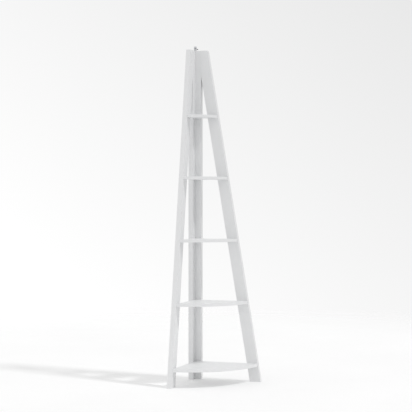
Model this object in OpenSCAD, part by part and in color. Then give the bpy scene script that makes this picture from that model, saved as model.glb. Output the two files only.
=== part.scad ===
// Corner ladder shelf. Two slanted legs and an L-shaped corner post carry quarter-round
// shelves that get smaller towards the top. An angle bracket and a long screw hold it to the wall.
// Millimetres, +Z up. The origin is the corner of the room at floor level. The right-hand wall
// is the plane y = 0 and the left-hand wall is the plane x = 0, so the shelf is at x > 0, y < 0.

/* [Overall] */
// Height of the legs and the corner post
unit_h = 1800; // [1500:10:2200]
// Distance from the room corner to a leg's outer edge at the floor
foot_reach = 400; // [330:1:480]
// Distance from the room corner to a leg's outer edge at the top
top_reach = 98; // [80:1:115]

/* [Boards] */
// Thickness of the legs and of the post boards
board_t = 26; // [21:0.5:32]
// Width of a leg, square to its slanted edges
leg_w = 60; // [50:1:72]
// Width of each inner face of the corner post
post_face = 35; // [30:1:45]

/* [Shelves] */
// Number of shelves
shelf_count = 5; // [3:1:6]
// Thickness of a shelf
shelf_t = 15; // [12:0.5:22]
// Height of the lowest shelf's top above the floor
first_shelf_h = 99; // [80:1:200]
// Distance from the top shelf's top up to the tops of the legs
head_space = 357; // [200:1:450]

/* [Connecting screws] */
// Diameter of a connecting screw's shank
screw_d = 7; // [5:0.5:8]
// Length of a connecting screw, head included
screw_len = 50; // [40:1:60]
// Diameter of a connecting screw's flush head
screw_head_d = 10; // [9:0.5:12]
// Hexagon socket of a connecting screw, across its flats
hex_socket = 4; // [3:0.5:5]
// Height of the lowest screw that joins the two post boards
low_post_screw = 45; // [30:1:60]

/* [Dowels] */
// Diameter of a dowel
dowel_d = 8; // [6:0.5:10]
// Length of a dowel
dowel_len = 30; // [25:1:36]
// Part of a dowel that sits in the leg or the post board
dowel_in_board = 12; // [8:1:15]
// Distance between the screw and the dowel that join a leg to a shelf
leg_fixing_gap = 26; // [18:1:30]
// Distance from the post's inner corner to the dowel that joins it to a shelf
post_dowel_in = 14; // [8:1:18]

/* [Wall bracket] */
// Width of the bracket
bracket_w = 16; // [14:1:20]
// Height of the bracket above the post
bracket_h = 28; // [22:1:34]
// Length of the bracket's foot on the post
bracket_depth = 24; // [20:1:30]
// Thickness of the bracket's steel
bracket_t = 2; // [1.5:0.5:3]
// Distance from the left-hand wall to the middle of the bracket
bracket_x = 19; // [12:1:26]
// Height of the wall screw above the post
wall_hole_h = 17; // [12:1:19]
// Diameter of the wall screw
wall_screw_d = 4.5; // [4:0.5:6]
// Length of the wall screw under its head
wall_screw_len = 50; // [30:1:70]
// Diameter of the wood screw that holds the bracket to the post
wood_screw_d = 4; // [3:0.5:4.5]
// Length of the wood screw that holds the bracket to the post
wood_screw_len = 30; // [20:1:40]

/* [Hidden] */
$fn = 96;
through = 1;                 // how far a cutting shape runs past the face it cuts

// frame
post_w = board_t + post_face;
slant = (foot_reach - top_reach) / unit_h;
leg_run = leg_w * sqrt(1 + slant * slant);
cut_z = (foot_reach - leg_run - post_w) / slant;

// shelves
shelf_pitch = (unit_h - head_space - first_shelf_h) / (shelf_count - 1);

// connecting screws
screw_rim = 0.8;
socket_depth = 3;
tip_len = 2;
tip_shrink = 0.6;

// dowels
dowel_chamfer = 1;
// the post's screw into a shelf stands midway between the end of the post's dowel and the post's edge
dowel_end = board_t + dowel_len - dowel_in_board;
post_screw_x = (dowel_end + post_w) / 2;

// bracket and its screws
bend_r = 1.5;
corner_r = 3;
foot_hole_y = bracket_depth / 2 + bracket_t / 2;
wood_head_d = 2 * wood_screw_d;
wall_head_d = 8.5;
wall_head_h = 2.6;
collar_d = wall_screw_d + 0.4;
wall_hole_d = collar_d + 0.2;
point_len = 5;
slot_w = 0.9;
slot_depth = 1.4;
slot_share = 0.6;            // length of the cross recess, as a share of its head

LEVELS = [for (i = [1:shelf_count]) i];
SHELF_NODES = [for (i = LEVELS) each [shelf_name(i), screws_name(i), dowels_name(i)]];

function shelf_name(i) = str("shelf_", i);
function screws_name(i) = str("shelf_", i, "_screws");
function dowels_name(i) = str("shelf_", i, "_dowels");

// distance from the corner to a leg's outer edge, to its inner edge and to its middle, at height z
function reach(z) = foot_reach - slant * z;
function leg_inner(z) = max(reach(z) - leg_run, post_w);
function leg_mid(z) = (reach(z) + leg_inner(z)) / 2;

// heights of a shelf's top and middle, counting from the lowest
function shelf_top(i) = first_shelf_h + (i - 1) * shelf_pitch;
function shelf_mid(i) = shelf_top(i) - shelf_t / 2;

// heights of the screws that join the two post boards: near the floor, in the middle of each bay,
// and between the two dowels at the top
function post_joints() = concat([low_post_screw],
    [for (i = [1:shelf_count - 1]) (shelf_mid(i) + shelf_mid(i + 1)) / 2],
    [(leg_joint(0) + leg_joint(1)) / 2]);

// heights of the two dowels between a leg's upright edge and the post
function leg_joint(k) = cut_z + (unit_h - cut_z) * (2 * k + 1) / 4;

// ---- placing ----

// what is on the right-hand wall, mirrored to the left-hand wall
module to_left() { mirror([1, 1, 0]) children(); }

// a child that points along +Z, set into the right-hand wall's face and pointing into the room
module from_wall(x, z) { translate([x, 0, z]) rotate([90, 0, 0]) children(); }

// a child that points along +Z, pointing away from the corner along the right-hand wall
module along_wall(x, z) { translate([x, -board_t / 2, z]) rotate([0, 90, 0]) children(); }

// ---- fasteners, each pointing along +Z ----

// outline of a connecting screw, which is also the hole for it
module screw_body() {
    r = screw_d / 2;
    head_r = screw_head_d / 2;
    cylinder(r = head_r, h = screw_rim);
    translate([0, 0, screw_rim]) cylinder(r1 = head_r, r2 = r, h = head_r - r);
    cylinder(r = r, h = screw_len - tip_len);
    translate([0, 0, screw_len - tip_len]) cylinder(r1 = r, r2 = r * tip_shrink, h = tip_len);
}

module connecting_screw() {
    color("gainsboro") difference() {
        screw_body();
        translate([0, 0, -through])
            cylinder(d = hex_socket / cos(30), h = socket_depth + through, $fn = 6);
    }
}

module dowel_hole() { cylinder(d = dowel_d, h = dowel_len); }

module dowel() {
    r = dowel_d / 2;
    color("burlywood") {
        cylinder(r1 = r - dowel_chamfer, r2 = r, h = dowel_chamfer);
        translate([0, 0, dowel_chamfer]) cylinder(r = r, h = dowel_len - 2 * dowel_chamfer);
        translate([0, 0, dowel_len - dowel_chamfer])
            cylinder(r1 = r, r2 = r - dowel_chamfer, h = dowel_chamfer);
    }
}

module cross_recess(head_d) {
    for (a = [0, 90]) rotate([0, 0, a])
        translate([-head_d * slot_share / 2, -slot_w / 2, -through])
            cube([head_d * slot_share, slot_w, slot_depth + through]);
}

// outline of the wood screw, which is also the hole for it: a flush 90 degree head, then a point
module wood_screw_body() {
    r = wood_screw_d / 2;
    cylinder(r1 = wood_head_d / 2, r2 = r, h = wood_head_d / 2 - r);
    cylinder(r = r, h = wood_screw_len - point_len);
    translate([0, 0, wood_screw_len - point_len]) cylinder(r1 = r, r2 = 0, h = point_len);
}

// ---- where the fasteners go ----

module shelf_screw_places(i) {
    z = shelf_mid(i);
    d = leg_mid(z) - leg_fixing_gap / 2;
    from_wall(d, z) children();
    to_left() from_wall(d, z) children();
    from_wall(post_screw_x, z) children();
}

module shelf_dowel_places(i) {
    z = shelf_mid(i);
    d = leg_mid(z) + leg_fixing_gap / 2;
    start = board_t - dowel_in_board;
    from_wall(d, z) translate([0, 0, start]) children();
    to_left() from_wall(d, z) translate([0, 0, start]) children();
    to_left() from_wall(board_t + post_dowel_in, z) translate([0, 0, start]) children();
}

module post_screw_places() {
    for (z = post_joints()) from_wall(board_t / 2, z) children();
}

// the right-hand leg's dowels
module leg_dowel_places() {
    for (k = [0, 1]) along_wall(post_w - dowel_in_board, leg_joint(k)) children();
}

module bracket_screw_place() {
    translate([bracket_x, -foot_hole_y, unit_h + bracket_t]) rotate([180, 0, 0]) children();
}

module shelf_holes(i) {
    shelf_screw_places(i) screw_body();
    shelf_dowel_places(i) dowel_hole();
}

// ---- boards ----

// a right-hand leg: its ends are cut level, and its inner edge is cut upright where it meets the post
module leg_board() {
    rotate([90, 0, 0]) linear_extrude(board_t)
        polygon([[foot_reach, 0], [top_reach, unit_h], [post_w, unit_h], [post_w, cut_z],
            [foot_reach - leg_run, 0]]);
}

module right_leg() {
    color("white") difference() {
        leg_board();
        for (i = LEVELS) shelf_holes(i);
        leg_dowel_places() dowel_hole();
    }
}

module left_leg() {
    color("white") difference() {
        to_left() leg_board();
        for (i = LEVELS) shelf_holes(i);
        to_left() leg_dowel_places() dowel_hole();
    }
}

// the full-width post board, on the right-hand wall
module post_right_board() {
    color("white") difference() {
        translate([0, -board_t, 0]) cube([post_w, board_t, unit_h]);
        for (i = LEVELS) shelf_holes(i);
        post_screw_places() screw_body();
        leg_dowel_places() dowel_hole();
        bracket_screw_place() wood_screw_body();
    }
}

// the narrower post board, on the left-hand wall, which butts against the full-width one
module post_left_board() {
    color("white") difference() {
        translate([0, -post_w, 0]) cube([board_t, post_face, unit_h]);
        for (i = LEVELS) shelf_holes(i);
        post_screw_places() screw_body();
        to_left() leg_dowel_places() dowel_hole();
    }
}

// a quarter round about the room corner, set in by the boards' thickness on both straight sides
module shelf(i) {
    r = reach(shelf_top(i));
    color("white") difference() {
        translate([0, 0, shelf_top(i) - shelf_t]) intersection() {
            cylinder(r = r, h = shelf_t, $fn = 256);
            translate([board_t, -r - board_t, 0]) cube([r, r, shelf_t]);
        }
        shelf_holes(i);
    }
}

// ---- fastener groups ----

module shelf_screws(i) { shelf_screw_places(i) connecting_screw(); }

module shelf_dowels(i) { shelf_dowel_places(i) dowel(); }

module post_screws() { post_screw_places() connecting_screw(); }

module right_leg_dowels() { leg_dowel_places() dowel(); }

module left_leg_dowels() { to_left() right_leg_dowels(); }

// ---- wall bracket ----

// side view of the bracket: its back on the wall at u = 0, its foot on the post at v = 0
module bracket_profile() {
    outer_r = bend_r + bracket_t;
    difference() {
        square([bracket_depth, bracket_h]);
        translate([outer_r, outer_r]) square([bracket_depth, bracket_h]);
        translate([bracket_t, outer_r]) square([bracket_depth, bracket_h]);
        translate([outer_r, bracket_t]) square([bracket_depth, bracket_h]);
        translate([outer_r, outer_r]) circle(r = bend_r);
        difference() {
            square(outer_r);
            translate([outer_r, outer_r]) circle(r = outer_r);
        }
    }
}

// a cutter that rounds the two corners at the end of a plate of the bracket's width
module end_rounding() {
    for (side = [-1, 1]) difference() {
        translate([side * bracket_w / 2 - corner_r, -corner_r, -through])
            cube([2 * corner_r, corner_r + through, bracket_t + 2 * through]);
        translate([side * (bracket_w / 2 - corner_r), -corner_r, -2 * through])
            cylinder(r = corner_r, h = bracket_t + 4 * through);
        translate([side * (bracket_w / 2 - 2 * corner_r) - corner_r, -2 * corner_r, -2 * through])
            cube([2 * corner_r, 2 * corner_r + 2 * through, bracket_t + 4 * through]);
    }
}

module wall_bracket() {
    color("silver") difference() {
        translate([bracket_x - bracket_w / 2, 0, unit_h])
            rotate([90, 0, -90]) mirror([0, 0, 1]) linear_extrude(bracket_w) bracket_profile();
        translate([bracket_x, through, unit_h + wall_hole_h])
            rotate([90, 0, 0]) cylinder(d = wall_hole_d, h = bracket_t + 2 * through);
        bracket_screw_place() wood_screw_body();
        translate([bracket_x, 0, unit_h + bracket_h]) rotate([90, 0, 0]) end_rounding();
        translate([bracket_x, -bracket_depth, unit_h]) mirror([0, 1, 0]) end_rounding();
    }
}

module bracket_screw() {
    color("silver") bracket_screw_place() difference() {
        wood_screw_body();
        cross_recess(wood_head_d);
    }
}

// a round-headed screw whose collar sits in the bracket and whose thread stands out past the wall line
module wall_screw() {
    r = wall_screw_d / 2;
    color("dimgray") translate([bracket_x, -bracket_t, unit_h + wall_hole_h]) rotate([-90, 0, 0]) {
        difference() {
            translate([0, 0, -wall_head_h]) {
                translate([0, 0, wall_head_h / 2]) cylinder(d = wall_head_d, h = wall_head_h / 2);
                cylinder(d1 = wall_head_d * slot_share, d2 = wall_head_d, h = wall_head_h / 2);
            }
            translate([0, 0, -wall_head_h]) cross_recess(wall_head_d);
        }
        cylinder(d = collar_d, h = bracket_t);
        translate([0, 0, bracket_t]) cylinder(r = r, h = wall_screw_len - bracket_t - point_len);
        translate([0, 0, wall_screw_len - point_len]) cylinder(r1 = r, r2 = 0, h = point_len);
    }
}

left_leg();
right_leg();
post_left_board();
post_right_board();
for (i = LEVELS) shelf(i);
for (i = LEVELS) shelf_screws(i);
for (i = LEVELS) shelf_dowels(i);
post_screws();
left_leg_dowels();
right_leg_dowels();
wall_bracket();
bracket_screw();
wall_screw();
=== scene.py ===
"""Looks of the corner ladder shelf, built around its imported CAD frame. Metres, +Z up."""

import math

import bmesh
import bpy
from mathutils import Matrix, Vector


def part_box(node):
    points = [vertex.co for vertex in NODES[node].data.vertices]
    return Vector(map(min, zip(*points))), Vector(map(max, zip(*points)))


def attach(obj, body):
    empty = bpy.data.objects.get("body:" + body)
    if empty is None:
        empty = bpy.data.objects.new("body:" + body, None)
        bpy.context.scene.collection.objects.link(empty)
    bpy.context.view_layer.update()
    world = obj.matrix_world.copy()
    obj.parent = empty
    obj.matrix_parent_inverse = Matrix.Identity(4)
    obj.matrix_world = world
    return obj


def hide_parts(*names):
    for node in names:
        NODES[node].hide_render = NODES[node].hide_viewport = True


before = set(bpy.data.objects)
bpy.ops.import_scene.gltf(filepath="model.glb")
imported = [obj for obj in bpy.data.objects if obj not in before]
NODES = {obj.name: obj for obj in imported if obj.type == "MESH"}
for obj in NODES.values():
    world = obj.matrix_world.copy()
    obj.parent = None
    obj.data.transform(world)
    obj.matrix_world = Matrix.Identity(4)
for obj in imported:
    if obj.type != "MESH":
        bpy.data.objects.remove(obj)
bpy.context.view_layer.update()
MM = 0.001

# the body every piece rides on: nothing on this object moves
BODY = "root"

# boards: radius of their eased edges, and the shortest edge that isn't part of a hole's rim
BOARD_EASE = 0.7 * MM
SHELF_EASE = 0.7 * MM
BRACKET_EASE = 0.3 * MM
SHORTEST_EDGE = 2 * MM
SHARP_ANGLE = math.radians(25)
FLAT_ANGLE = math.radians(0.3)
WELD = 1e-6

# paint: its colour, where it is a little duller, and on rubbed edges
PAINT = (0.80, 0.805, 0.81)
PAINT_DULL = (0.79, 0.795, 0.80)
PAINT_RUBBED = (0.82, 0.82, 0.815)

# connecting screws
SHANK_R = 3.5 * MM
HEAD_RIM = 0.8 * MM
HEX_SOCKET = 4 * MM
SOCKET_DEPTH = 3 * MM
SCREW_PITCH = 3 * MM
SCREW_ROOT = 0.74
PLAIN_SHANK = 9 * MM
SCREW_TIP = 3 * MM
RINGS_PER_TURN = 8
CREST_SHARE = 0.3

# dowels
FLUTES = 20
FLUTE_DEPTH = 0.35 * MM
DOWEL_CHAMFER = 1 * MM

# bracket and its two screws
SHEET_T = 2 * MM
WOOD_SHANK_R = 2 * MM
WALL_SHANK_R = 2.25 * MM
WOOD_PITCH = 1.8 * MM
WALL_PITCH = 2 * MM
WALL_COLLAR_R = 2.45 * MM
WALL_HEAD_H = 2.6 * MM
POINT_LEN = 5 * MM
RECESS_DEPTH = 1.4 * MM
RECESS_ARM = 0.6
RECESS_W = 0.9 * MM

# floor: where it starts to fade, its radius and its number of sides
FLOOR_FADE = 2.2
FLOOR_R = 4.6
FLOOR_SIDES = 96

# camera
CAMERA_AT = Vector((2.1483, -6.1151, 0.949))
CAMERA_TURN = math.radians(18.68)
CAMERA_LENS = 102.6
VIEW_DIR = Vector((-math.sin(CAMERA_TURN), math.cos(CAMERA_TURN), 0))
VIEW_RIGHT = Vector((math.cos(CAMERA_TURN), math.sin(CAMERA_TURN), 0))

# lights
KEY_AZIMUTH = math.radians(-7.1)
KEY_ELEVATION = math.radians(53.8)
KEY_WIDTH = math.radians(7)
KEY_STRENGTH = 1.0
ROOM_LIGHT = 0.77
ROOM_SLOPE = Vector((-0.2, -0.03, 0))
FLOOR_GLOW = 0.155
SURROUNDINGS = 0.94
BACKDROP_MIDDLE = 0.943
BACKDROP_RISE = 0.42
BACKDROP_SIDE = 0.33


# ---- node helpers ----

def feed(tree, socket, value):
    """Links a socket to an input, or sets the input's own value."""
    if isinstance(value, bpy.types.NodeSocket):
        tree.links.new(value, socket)
    else:
        socket.default_value = value


def node(tree, kind, inputs=None, **properties):
    """A new node with its properties and inputs set."""
    made = tree.nodes.new(kind)
    for key, value in properties.items():
        setattr(made, key, value)
    for key, value in (inputs or {}).items():
        feed(tree, made.inputs[key], value)
    return made


def new_material(name):
    """An empty Principled material: the material, its tree and its shader node."""
    material = bpy.data.materials.new(name)
    material.use_nodes = True
    tree = material.node_tree
    return material, tree, tree.nodes["Principled BSDF"]


def object_coords(tree, scale=(1, 1, 1), rotation=(0, 0, 0)):
    """Object coordinates, which are the row frame's, stretched and turned."""
    coords = node(tree, "ShaderNodeTexCoord")
    mapping = node(tree, "ShaderNodeMapping",
                   {"Vector": coords.outputs["Object"], "Scale": scale, "Rotation": rotation})
    return mapping.outputs["Vector"]


def noise(tree, vector, scale, detail=2.0, roughness=0.5, distortion=0.0):
    """Noise from 0 to 1."""
    made = node(tree, "ShaderNodeTexNoise",
                {"Vector": vector, "Scale": scale, "Detail": detail, "Roughness": roughness,
                 "Distortion": distortion})
    return made.outputs[0]


def remap(tree, value, low, high, to_low, to_high):
    """A value carried from one range to another, and held inside it."""
    made = node(tree, "ShaderNodeMapRange",
                {"Value": value, "From Min": low, "From Max": high,
                 "To Min": to_low, "To Max": to_high})
    return made.outputs[0]


def colours(tree, factor, stops):
    """A colour ramp: stops are (position, grey or colour)."""
    made = node(tree, "ShaderNodeValToRGB", {"Fac": factor})
    elements = made.color_ramp.elements
    while len(elements) < len(stops):
        elements.new(0.5)
    for element, (position, colour) in zip(elements, stops):
        element.position = position
        element.color = (*colour, 1.0)
    return made.outputs["Color"]


def blend_colours(tree, factor, first, second):
    """A mix of two colours."""
    made = node(tree, "ShaderNodeMix", data_type="RGBA")
    for index, value in ((0, factor), (6, first), (7, second)):
        feed(tree, made.inputs[index], value)
    return made.outputs[2]


def maths(tree, operation, first, second=0.0):
    """One sum on two numbers."""
    return node(tree, "ShaderNodeMath", {0: first, 1: second}, operation=operation).outputs[0]


def bump(tree, height, distance, strength=1.0, under=None):
    """A bump from a height of 0 to 1, on top of another bump if one is given."""
    inputs = {"Height": height, "Distance": distance, "Strength": strength}
    if under is not None:
        inputs["Normal"] = under
    return node(tree, "ShaderNodeBump", inputs).outputs["Normal"]


def edge_mask(tree, radius):
    """1 on a convex edge's rounding and 0 on a flat face."""
    rounded = node(tree, "ShaderNodeBevel", {"Radius": radius}, samples=6)
    surface = node(tree, "ShaderNodeNewGeometry")
    same = node(tree, "ShaderNodeVectorMath",
                {0: rounded.outputs["Normal"], 1: surface.outputs["True Normal"]},
                operation="DOT_PRODUCT")
    return remap(tree, same.outputs["Value"], 1.0, 0.9, 0.0, 1.0)


# ---- materials ----

def painted_board(name, along, turn=(0, 0, 0)):
    """Satin white paint, rolled on over filled board: faint grain along the board, fine roller
    stipple, slow changes of tone and gloss, and edges rubbed a little brighter."""
    material, tree, shader = new_material(name)
    stretch = tuple(14 if axis == along else 420 for axis in "xyz")
    grain = noise(tree, object_coords(tree, stretch, turn), 1.0, 3.0, 0.6)
    plain = object_coords(tree)
    tone = noise(tree, plain, 7.0, 3.0, 0.55)
    stipple = noise(tree, plain, 900.0, 2.0, 0.6)
    edges = maths(tree, "MULTIPLY", edge_mask(tree, BOARD_EASE), noise(tree, plain, 160.0, 3.0, 0.65))
    base = colours(tree, tone, ((0.30, PAINT_DULL), (0.52, PAINT)))
    feed(tree, shader.inputs["Base Color"], blend_colours(tree, edges, base, (*PAINT_RUBBED, 1.0)))
    slow_gloss = remap(tree, tone, 0.3, 0.7, 0.36, 0.44)
    fine_gloss = remap(tree, stipple, 0.3, 0.7, -0.03, 0.03)
    feed(tree, shader.inputs["Roughness"], maths(tree, "ADD", slow_gloss, fine_gloss))
    grained = bump(tree, grain, 0.05 * MM, 0.15)
    feed(tree, shader.inputs["Normal"], bump(tree, stipple, 0.05 * MM, 0.22, grained))
    return material


def zinc_steel():
    """Bright zinc plating on turned steel: fine turning rings, cloudy tone and a few dull spots."""
    material, tree, shader = new_material("zinc_steel")
    plain = object_coords(tree)
    cloud = noise(tree, plain, 260.0, 4.0, 0.6)
    turned = noise(tree, plain, 2600.0, 2.0, 0.5)
    feed(tree, shader.inputs["Base Color"],
         colours(tree, cloud, ((0.3, (0.50, 0.51, 0.53)), (0.7, (0.74, 0.75, 0.77)))))
    feed(tree, shader.inputs["Roughness"], remap(tree, cloud, 0.3, 0.7, 0.42, 0.26))
    feed(tree, shader.inputs["Normal"], bump(tree, turned, 0.02 * MM, 0.6))
    shader.inputs["Metallic"].default_value = 1.0
    return material


def bracket_steel():
    """Zinc-plated sheet: rolling lines along its length, cloudy crystals and darker rubbed edges."""
    material, tree, shader = new_material("bracket_steel")
    plain = object_coords(tree)
    rolled = noise(tree, object_coords(tree, (3200, 60, 60)), 1.0, 3.0, 0.6)
    cloud = noise(tree, plain, 420.0, 5.0, 0.65)
    base = colours(tree, cloud, ((0.3, (0.55, 0.56, 0.58)), (0.7, (0.72, 0.73, 0.75))))
    worn = blend_colours(tree, edge_mask(tree, 0.5 * MM), base, (0.80, 0.80, 0.81, 1.0))
    feed(tree, shader.inputs["Base Color"], worn)
    feed(tree, shader.inputs["Roughness"], remap(tree, rolled, 0.25, 0.75, 0.34, 0.50))
    feed(tree, shader.inputs["Normal"], bump(tree, rolled, 0.02 * MM, 0.7))
    shader.inputs["Metallic"].default_value = 1.0
    return material


def dark_steel(thread_starts):
    """Phosphated steel: a dark thread, and a head rubbed grey by the driver."""
    material, tree, shader = new_material("dark_steel")
    plain = object_coords(tree)
    cloud = noise(tree, plain, 500.0, 4.0, 0.6)
    thread = colours(tree, cloud, ((0.3, (0.07, 0.07, 0.075)), (0.7, (0.13, 0.13, 0.135))))
    head = colours(tree, cloud, ((0.3, (0.34, 0.34, 0.35)), (0.7, (0.48, 0.48, 0.49))))
    depth = node(tree, "ShaderNodeSeparateXYZ", {"Vector": plain}).outputs["Y"]
    is_thread = remap(tree, depth, thread_starts - 0.5 * MM, thread_starts + 0.5 * MM, 0.0, 1.0)
    base = blend_colours(tree, is_thread, head, thread)
    worn = blend_colours(tree, edge_mask(tree, 0.4 * MM), base, (0.42, 0.42, 0.43, 1.0))
    feed(tree, shader.inputs["Base Color"], worn)
    feed(tree, shader.inputs["Roughness"], remap(tree, cloud, 0.3, 0.7, 0.55, 0.38))
    feed(tree, shader.inputs["Normal"], bump(tree, noise(tree, plain, 3000.0), 0.02 * MM, 0.6))
    shader.inputs["Metallic"].default_value = 0.85
    return material


def beech():
    """Beech: warm tan with short darker flecks and fine pores."""
    material, tree, shader = new_material("beech_dowel")
    plain = object_coords(tree)
    fleck = noise(tree, plain, 650.0, 4.0, 0.7, 1.5)
    base = colours(tree, fleck, ((0.35, (0.36, 0.20, 0.10)), (0.62, (0.62, 0.42, 0.25))))
    feed(tree, shader.inputs["Base Color"], base)
    feed(tree, shader.inputs["Roughness"], remap(tree, fleck, 0.3, 0.7, 0.72, 0.58))
    feed(tree, shader.inputs["Normal"], bump(tree, fleck, 0.06 * MM, 0.6))
    return material


def studio_floor():
    """A matt white floor that fades into the surroundings far from the object."""
    material, tree, shader = new_material("studio_floor")
    coords = node(tree, "ShaderNodeTexCoord").outputs["Object"]
    tone = noise(tree, coords, 1.3, 3.0, 0.5)
    grit = noise(tree, coords, 700.0, 2.0, 0.6)
    feed(tree, shader.inputs["Base Color"],
         colours(tree, tone, ((0.3, (0.80, 0.80, 0.80)), (0.7, (0.82, 0.82, 0.82)))))
    feed(tree, shader.inputs["Roughness"], remap(tree, grit, 0.3, 0.7, 0.78, 0.9))
    feed(tree, shader.inputs["Normal"], bump(tree, grit, 0.05 * MM, 0.3))
    shader.inputs["Specular IOR Level"].default_value = 0.2
    shader.inputs["Emission Color"].default_value = (1, 1, 1, 1)
    shader.inputs["Emission Strength"].default_value = FLOOR_GLOW
    distance = node(tree, "ShaderNodeVectorMath", {0: coords}, operation="LENGTH").outputs["Value"]
    fade = node(tree, "ShaderNodeMapRange",
                {"Value": distance, "From Min": FLOOR_FADE, "From Max": FLOOR_R},
                interpolation_type="SMOOTHSTEP")
    clear = node(tree, "ShaderNodeBsdfTransparent")
    mixed = node(tree, "ShaderNodeMixShader",
                 {0: fade.outputs[0], 1: shader.outputs[0], 2: clear.outputs[0]})
    feed(tree, tree.nodes["Material Output"].inputs["Surface"], mixed.outputs[0])
    return material


# ---- mesh helpers ----

def as_piece(name, mesh, material, stands_for):
    """A finished piece: it rides on the frame and stands for its CAD node."""
    piece = bpy.data.objects.new(name, mesh)
    bpy.context.scene.collection.objects.link(piece)
    mesh.materials.append(material)
    mesh.shade_smooth()
    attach(piece, BODY)
    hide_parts(stands_for)
    return piece


def flatten_shading(piece):
    """Keeps large faces flat in their shading, and leaves only the eased edges round."""
    modifier = piece.modifiers.new("flat_faces", "WEIGHTED_NORMAL")
    modifier.weight = 100
    modifier.keep_sharp = True
    return piece


def eased_mesh(cad_node, radius, shortest, segments=3):
    """A copy of a CAD node's mesh with clean faces and rounded edges. Rims of holes stay crisp."""
    work = bmesh.new()
    work.from_mesh(NODES[cad_node].data)
    bmesh.ops.remove_doubles(work, verts=work.verts, dist=WELD)
    bmesh.ops.dissolve_limit(work, angle_limit=FLAT_ANGLE, verts=work.verts, edges=work.edges)
    sharp = [e for e in work.edges if e.calc_face_angle(0) > SHARP_ANGLE]
    eased = [e for e in sharp if e.calc_length() > shortest]
    for edge in sharp:
        edge.smooth = edge in eased
    bmesh.ops.bevel(work, geom=eased, offset=radius, offset_type="OFFSET", segments=segments,
                    profile=0.5, affect="EDGES", clamp_overlap=True, loop_slide=False)
    mesh = bpy.data.meshes.new(cad_node + "_eased")
    work.to_mesh(mesh)
    work.free()
    return mesh


def solid_boxes(cad_node):
    """(lowest corner, highest corner) of each separate solid in a CAD node."""
    work = bmesh.new()
    work.from_mesh(NODES[cad_node].data)
    bmesh.ops.remove_doubles(work, verts=work.verts, dist=WELD)
    left = set(work.verts)
    boxes = []
    while left:
        found = flood(left.pop(), left)
        boxes.append(corners([v.co for v in found]))
    work.free()
    return sorted(boxes, key=lambda box: tuple(box[0]))


def flood(start, left):
    """Every vertex that edges join to start, taken out of the set left."""
    found = [start]
    for vertex in found:
        for edge in vertex.link_edges:
            other = edge.other_vert(vertex)
            if other in left:
                left.remove(other)
                found.append(other)
    return found


def corners(points):
    """Lowest and highest corner of some points."""
    low = Vector([min(p[k] for p in points) for k in range(3)])
    high = Vector([max(p[k] for p in points) for k in range(3)])
    return low, high


def wall_side_frame(box):
    """A frame whose +Z points from a fastener's wall-side end into the room, and its length."""
    low, high = box
    size = high - low
    middle = (low + high) / 2
    if size.x > size.y:
        origin, direction = Vector((low.x, middle.y, middle.z)), Vector((1, 0, 0))
    else:
        origin, direction = Vector((middle.x, high.y, middle.z)), Vector((0, -1, 0))
    return pointing(origin, direction), max(size.x, size.y)


def pointing(origin, direction):
    """A frame at a point, with +Z along a direction."""
    return Matrix.Translation(origin) @ direction.to_track_quat("Z", "Y").to_matrix().to_4x4()


def loft(work, rings, sides, place):
    """Adds a closed solid through rings of (height, radius at an angle), capped at both ends."""
    loops = []
    for height, radius in rings:
        loop = []
        for k in range(sides):
            angle = 2 * math.pi * k / sides
            r = radius(angle)
            at = Vector((r * math.cos(angle), r * math.sin(angle), height))
            loop.append(work.verts.new(place @ at))
        loops.append(loop)
    for lower, upper in zip(loops, loops[1:]):
        for k in range(sides):
            j = (k + 1) % sides
            work.faces.new((lower[k], lower[j], upper[j], upper[k]))
    work.faces.new(loops[0][::-1])
    work.faces.new(loops[-1])


def finished(work, name, crease=35):
    """The mesh made in a bmesh, with outward faces and crisp edges over a crease angle."""
    bmesh.ops.recalc_face_normals(work, faces=work.faces)
    for edge in work.edges:
        edge.smooth = edge.calc_face_angle(0) < math.radians(crease)
    mesh = bpy.data.meshes.new(name)
    work.to_mesh(mesh)
    work.free()
    return mesh


# ---- ring shapes ----

def round_ring(radius):
    """A circle."""
    return lambda angle: radius


def hex_ring(across):
    """A hexagon by its width across the flats."""
    sector = math.pi / 3
    return lambda angle: across / 2 / math.cos((angle % sector) - sector / 2)


def cross_ring(arm, half_width):
    """A plus sign with arms of a length and a half width."""
    def radius(angle):
        c, s = max(abs(math.cos(angle)), 1e-6), max(abs(math.sin(angle)), 1e-6)
        return max(min(arm / c, half_width / s), min(half_width / c, arm / s))
    return radius


def fluted_ring(radius, depth):
    """A circle with shallow grooves."""
    return lambda angle: radius - depth * max(0.0, math.cos(FLUTES * angle))


def thread_rings(start, end, crest, root, pitch, fade, shrink=0.0):
    """Rings of a thread: a narrow helical crest on a root. The crest grows from nothing at the
    start, and both taper towards the end."""
    count = round((end - start) / pitch * RINGS_PER_TURN)
    rings = []
    for i in range(count + 1):
        z = start + (end - start) * i / count
        taper = 1 - shrink * max(0.0, (z - (end - fade)) / fade)
        height = (crest - root) * min(1.0, (z - start) / fade)
        rings.append((z, thread_ring(root * taper, height * taper, z / pitch)))
    return rings


def thread_ring(root, height, turns):
    """A circle with one bump, where the crest of a thread passes through it."""
    def radius(angle):
        phase = (turns - angle / (2 * math.pi)) % 1.0
        return root + height * max(0.0, 1 - abs(phase - 0.5) / CREST_SHARE)
    return radius


# ---- fasteners ----

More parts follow.
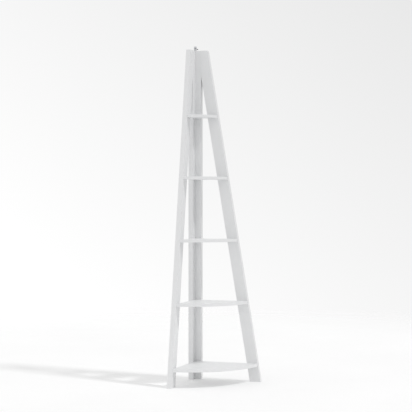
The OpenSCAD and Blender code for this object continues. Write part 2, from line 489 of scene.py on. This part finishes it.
def connecting_screw_rings(length, head_r):
    """A flush furniture screw: hexagon socket, chamfered head, plain neck, coarse thread, blunt tip."""
    root = SHANK_R * SCREW_ROOT
    body = [
        (SOCKET_DEPTH, round_ring(HEX_SOCKET * 0.2)),
        (SOCKET_DEPTH - 0.5 * MM, hex_ring(HEX_SOCKET)),
        (0.25 * MM, hex_ring(HEX_SOCKET)),
        (0, hex_ring(HEX_SOCKET * 1.1)),
        (0, round_ring(head_r - 0.35 * MM)),
        (0.3 * MM, round_ring(head_r)),
        (HEAD_RIM, round_ring(head_r)),
        (HEAD_RIM + head_r - SHANK_R, round_ring(SHANK_R)),
        (PLAIN_SHANK, round_ring(SHANK_R)),
        (PLAIN_SHANK + 0.8 * MM, round_ring(root)),
    ]
    thread = thread_rings(PLAIN_SHANK + 1.2 * MM, length - 0.6 * MM, SHANK_R, root,
                          SCREW_PITCH, SCREW_TIP, 0.45)
    return body + thread + [(length, round_ring(root * 0.3))]


def dowel_rings(length, radius):
    """A fluted dowel with chamfered ends."""
    end_r = radius - DOWEL_CHAMFER
    return [
        (0, fluted_ring(end_r, 0)),
        (DOWEL_CHAMFER, fluted_ring(radius, FLUTE_DEPTH)),
        (length - DOWEL_CHAMFER, fluted_ring(radius, FLUTE_DEPTH)),
        (length, fluted_ring(end_r, 0)),
    ]


def recess_rings(top, head_r):
    """A tapered cross recess, from its floor up to the head's top."""
    arm = head_r * RECESS_ARM
    half = RECESS_W / 2
    return [
        (top + RECESS_DEPTH, cross_ring(arm * 0.45, half * 0.5)),
        (top, cross_ring(arm, half)),
    ]


def wood_screw_rings(length, head_r):
    """A countersunk wood screw with a cross recess and a sharp point."""
    root = WOOD_SHANK_R * 0.66
    neck = head_r - WOOD_SHANK_R + 4 * MM
    body = recess_rings(0, head_r) + [
        (0, round_ring(head_r - 0.15 * MM)),
        (0.12 * MM, round_ring(head_r - 0.12 * MM)),
        (head_r - WOOD_SHANK_R, round_ring(WOOD_SHANK_R)),
        (neck, round_ring(WOOD_SHANK_R * 0.9)),
    ]
    thread = thread_rings(neck + 0.5 * MM, length - 0.8 * MM, WOOD_SHANK_R, root,
                          WOOD_PITCH, POINT_LEN, 0.75)
    return body + thread + [(length, round_ring(0.05 * MM))]


def wall_screw_rings(length, head_r):
    """A domed screw with a cross recess, a collar in the bracket and a long sharp thread."""
    root = WALL_SHANK_R * 0.68
    top = -WALL_HEAD_H
    dome = []
    for degrees in (0, 15, 35, 60, 90):
        t = math.radians(degrees)
        height = top + WALL_HEAD_H * (1 - math.cos(t)) * 0.8
        dome.append((height, round_ring(head_r * (0.62 + 0.38 * math.sin(t)))))
    body = recess_rings(top, head_r) + dome + [
        (-0.25 * MM, round_ring(head_r)),
        (0, round_ring(head_r - 0.2 * MM)),
        (0, round_ring(WALL_COLLAR_R)),
        (SHEET_T, round_ring(WALL_COLLAR_R)),
        (SHEET_T + 0.4 * MM, round_ring(root)),
    ]
    thread = thread_rings(SHEET_T + 1 * MM, length - 0.8 * MM, WALL_SHANK_R, root,
                          WALL_PITCH, POINT_LEN, 0.8)
    return body + thread + [(length, round_ring(0.05 * MM))]


def fastener_set(cad_node, suffix, rings_of, sides, material, crease=35):
    """Every screw or dowel of a CAD node, each where the CAD has it."""
    work = bmesh.new()
    for box in solid_boxes(cad_node):
        place, length = wall_side_frame(box)
        radius = (box[1].z - box[0].z) / 2
        loft(work, rings_of(length, radius), sides, place)
    mesh = finished(work, cad_node + suffix, crease)
    return as_piece(cad_node + suffix, mesh, material, cad_node)


def single_screw(cad_node, rings, place, material):
    """The bracket's screw or the wall screw."""
    name = cad_node + "_threaded"
    work = bmesh.new()
    loft(work, rings, 48, place)
    return as_piece(name, finished(work, name), material, cad_node)


# ---- the object ----

def make_board(cad_node, material, radius):
    """A painted board or shelf with eased edges."""
    mesh = eased_mesh(cad_node, radius, SHORTEST_EDGE)
    piece = as_piece(cad_node + "_painted", mesh, material, cad_node)
    return flatten_shading(piece)


def leg_slant():
    """How far a leg leans from upright, from the right leg's box at its foot and its top."""
    points = [v.co for v in NODES["right_leg"].data.vertices]
    top = max(p.z for p in points)
    foot_x = max(p.x for p in points if p.z < MM)
    top_x = max(p.x for p in points if p.z > top - MM)
    return math.atan((foot_x - top_x) / top)


def make_boards():
    """Both legs, both post boards and the shelves, each with paint that runs along it."""
    slant = leg_slant()
    upright = painted_board("white_paint_post", "z")
    make_board("left_leg", painted_board("white_paint_left_leg", "z", (slant, 0, 0)), BOARD_EASE)
    make_board("right_leg", painted_board("white_paint_right_leg", "z", (0, slant, 0)), BOARD_EASE)
    make_board("post_left_board", upright, BOARD_EASE)
    make_board("post_right_board", upright, BOARD_EASE)
    flat = painted_board("white_paint_shelf", "x")
    for cad_node in shelf_names():
        make_board(cad_node, flat, SHELF_EASE)


def shelf_names():
    """The CAD nodes of the shelves themselves, without their screws and dowels."""
    return sorted(n for n in NODES if n.startswith("shelf_") and n.count("_") == 1)


def make_fasteners():
    """Every connecting screw and dowel, and the bracket's screw."""
    zinc = zinc_steel()
    wood = beech()
    for cad_node in sorted(NODES):
        if cad_node.endswith("_screws"):
            fastener_set(cad_node, "_threaded", connecting_screw_rings, 24, zinc)
        elif cad_node.endswith("_dowels"):
            fastener_set(cad_node, "_fluted", dowel_rings, 80, wood, 60)
    make_bracket_screw(zinc)


def make_bracket_screw(zinc):
    """The countersunk screw that holds the bracket's foot down."""
    low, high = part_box("bracket_screw")
    middle = (low + high) / 2
    place = pointing(Vector((middle.x, middle.y, high.z)), Vector((0, 0, -1)))
    rings = wood_screw_rings(high.z - low.z, (high.x - low.x) / 2)
    single_screw("bracket_screw", rings, place, zinc)


def make_wall_fixing():
    """The bracket, and the screw through it into the wall."""
    mesh = eased_mesh("wall_bracket", BRACKET_EASE, 0, 2)
    steel = as_piece("wall_bracket_pressed", mesh, bracket_steel(), "wall_bracket")
    flatten_shading(steel)
    low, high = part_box("wall_screw")
    middle = (low + high) / 2
    place = pointing(Vector((middle.x, low.y + WALL_HEAD_H, middle.z)), Vector((0, 1, 0)))
    rings = wall_screw_rings(high.y - low.y - WALL_HEAD_H, (high.x - low.x) / 2)
    thread_starts = low.y + WALL_HEAD_H + SHEET_T
    single_screw("wall_screw", rings, place, dark_steel(thread_starts))


# ---- stage ----

def make_floor():
    """A round floor, part of the stage."""
    work = bmesh.new()
    bmesh.ops.create_circle(work, cap_ends=True, segments=FLOOR_SIDES, radius=FLOOR_R)
    mesh = bpy.data.meshes.new("studio_floor")
    work.to_mesh(mesh)
    work.free()
    floor = bpy.data.objects.new("studio_floor", mesh)
    bpy.context.scene.collection.objects.link(floor)
    mesh.materials.append(studio_floor())


def make_surroundings():
    """Soft light from all round, a little stronger from the left, in front of white surroundings
    with a gentle grade behind the object."""
    world = bpy.data.worlds.new("studio")
    world.use_nodes = True
    tree = world.node_tree
    direction = node(tree, "ShaderNodeTexCoord").outputs["Generated"]
    across = VIEW_RIGHT * -BACKDROP_SIDE + Vector((0, 0, -BACKDROP_RISE))
    graded = maths(tree, "ADD", dot(tree, direction, across), BACKDROP_MIDDLE)
    facing = node(tree, "ShaderNodeMapRange",
                  {"Value": dot(tree, direction, VIEW_DIR), "From Min": 0.80, "From Max": 0.95},
                  interpolation_type="SMOOTHSTEP")
    seen = node(tree, "ShaderNodeMix", {0: facing.outputs[0], 2: SURROUNDINGS, 3: graded})
    light = maths(tree, "ADD", dot(tree, direction, ROOM_SLOPE), ROOM_LIGHT)
    is_seen = node(tree, "ShaderNodeLightPath").outputs["Is Camera Ray"]
    level = node(tree, "ShaderNodeMix", {0: is_seen, 2: light, 3: seen.outputs[0]})
    feed(tree, tree.nodes["Background"].inputs["Color"], level.outputs[0])
    bpy.context.scene.world = world


def dot(tree, vector, fixed):
    """How far a vector points along a fixed direction."""
    made = node(tree, "ShaderNodeVectorMath", {0: vector, 1: tuple(fixed)}, operation="DOT_PRODUCT")
    return made.outputs["Value"]


def make_key_light():
    """A wide sun from the right, which throws the shadow to the left."""
    light = bpy.data.lights.new("key", "SUN")
    light.energy = KEY_STRENGTH
    light.angle = KEY_WIDTH
    lamp = bpy.data.objects.new("key", light)
    toward = Vector((math.cos(KEY_ELEVATION) * math.cos(KEY_AZIMUTH),
                     math.cos(KEY_ELEVATION) * math.sin(KEY_AZIMUTH),
                     math.sin(KEY_ELEVATION)))
    lamp.rotation_mode = "QUATERNION"
    lamp.rotation_quaternion = toward.to_track_quat("Z", "Y")
    lamp.location = toward * 6
    bpy.context.scene.collection.objects.link(lamp)


def make_camera():
    """A level camera in front of the corner."""
    data = bpy.data.cameras.new("camera")
    data.lens = CAMERA_LENS
    camera = bpy.data.objects.new("camera", data)
    camera.location = CAMERA_AT
    camera.rotation_euler = (math.pi / 2, 0, CAMERA_TURN)
    bpy.context.scene.collection.objects.link(camera)
    bpy.context.scene.camera = camera


bpy.context.scene.view_settings.view_transform = "Standard"
make_camera()
make_floor()
make_surroundings()
make_key_light()
make_boards()
make_fasteners()
make_wall_fixing()
